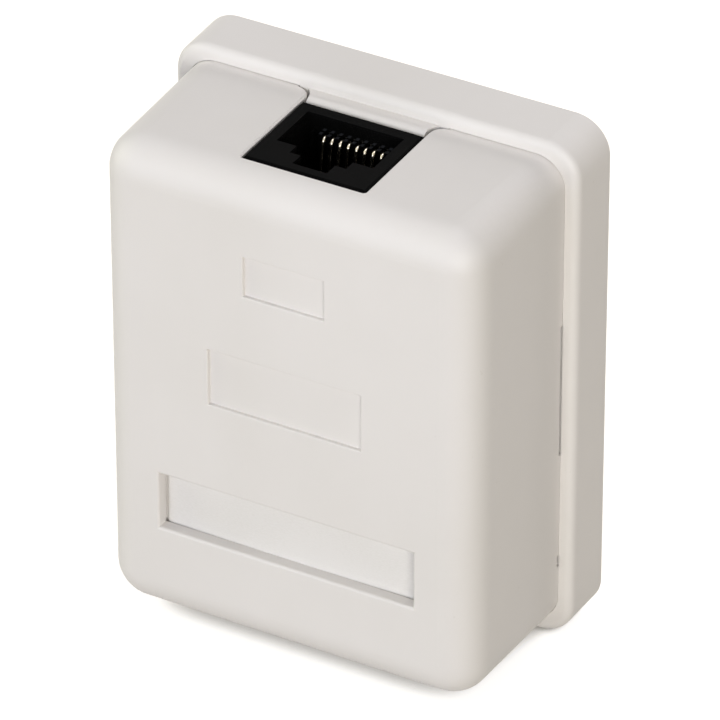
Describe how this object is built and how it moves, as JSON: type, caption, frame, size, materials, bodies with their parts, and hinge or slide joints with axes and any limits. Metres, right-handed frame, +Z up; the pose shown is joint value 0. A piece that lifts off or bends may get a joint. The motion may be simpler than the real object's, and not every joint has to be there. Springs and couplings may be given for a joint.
{
  "type": "ethernet connection box",
  "caption": "White surface-mount wall box with a pull-off cover and a network socket in its end, wired inside to insulation displacement blocks on a board.",
  "frame": {"origin": "middle of the back face, on the wall plane", "axes": "+Z up towards the socket end, +Y into the wall, +X to the right seen from the front"},
  "size_m": [0.05, 0.027, 0.0636],
  "materials": {
    "white_shell": "satin moulded, slightly warm white",
    "label_white": "smooth thin strip",
    "board_green": "solder mask",
    "socket_black": "moulded, slight gloss",
    "block_white": "moulded, natural",
    "contact_gold": "gold plated wire",
    "contact_tin": "tin plated plate",
    "screw_steel": "zinc plated"
  },
  "bodies": {
    "base": {"base_tray": "white_shell", "circuit_board": "board_green", "jack_housing": "socket_black", "contact_carrier": "socket_black", "idc_block_left": "block_white", "idc_block_right": "block_white", "board_screws": "screw_steel", "jack_contact_1": "contact_gold", "jack_contact_2": "contact_gold", "jack_contact_3": "contact_gold", "jack_contact_4": "contact_gold", "jack_contact_5": "contact_gold", "jack_contact_6": "contact_gold", "jack_contact_7": "contact_gold", "jack_contact_8": "contact_gold", "idc_contact_1": "contact_tin", "idc_contact_2": "contact_tin", "idc_contact_3": "contact_tin", "idc_contact_4": "contact_tin", "idc_contact_5": "contact_tin", "idc_contact_6": "contact_tin", "idc_contact_7": "contact_tin", "idc_contact_8": "contact_tin"},
    "cover": {"cover": "white_shell", "label_strip": "label_white"}
  },
  "joints": [
    {"name": "cover_pull", "type": "slide", "parent": "base", "child": "cover", "axis": [0, -1, 0], "range_m": [0, 0.03]}
  ]
}
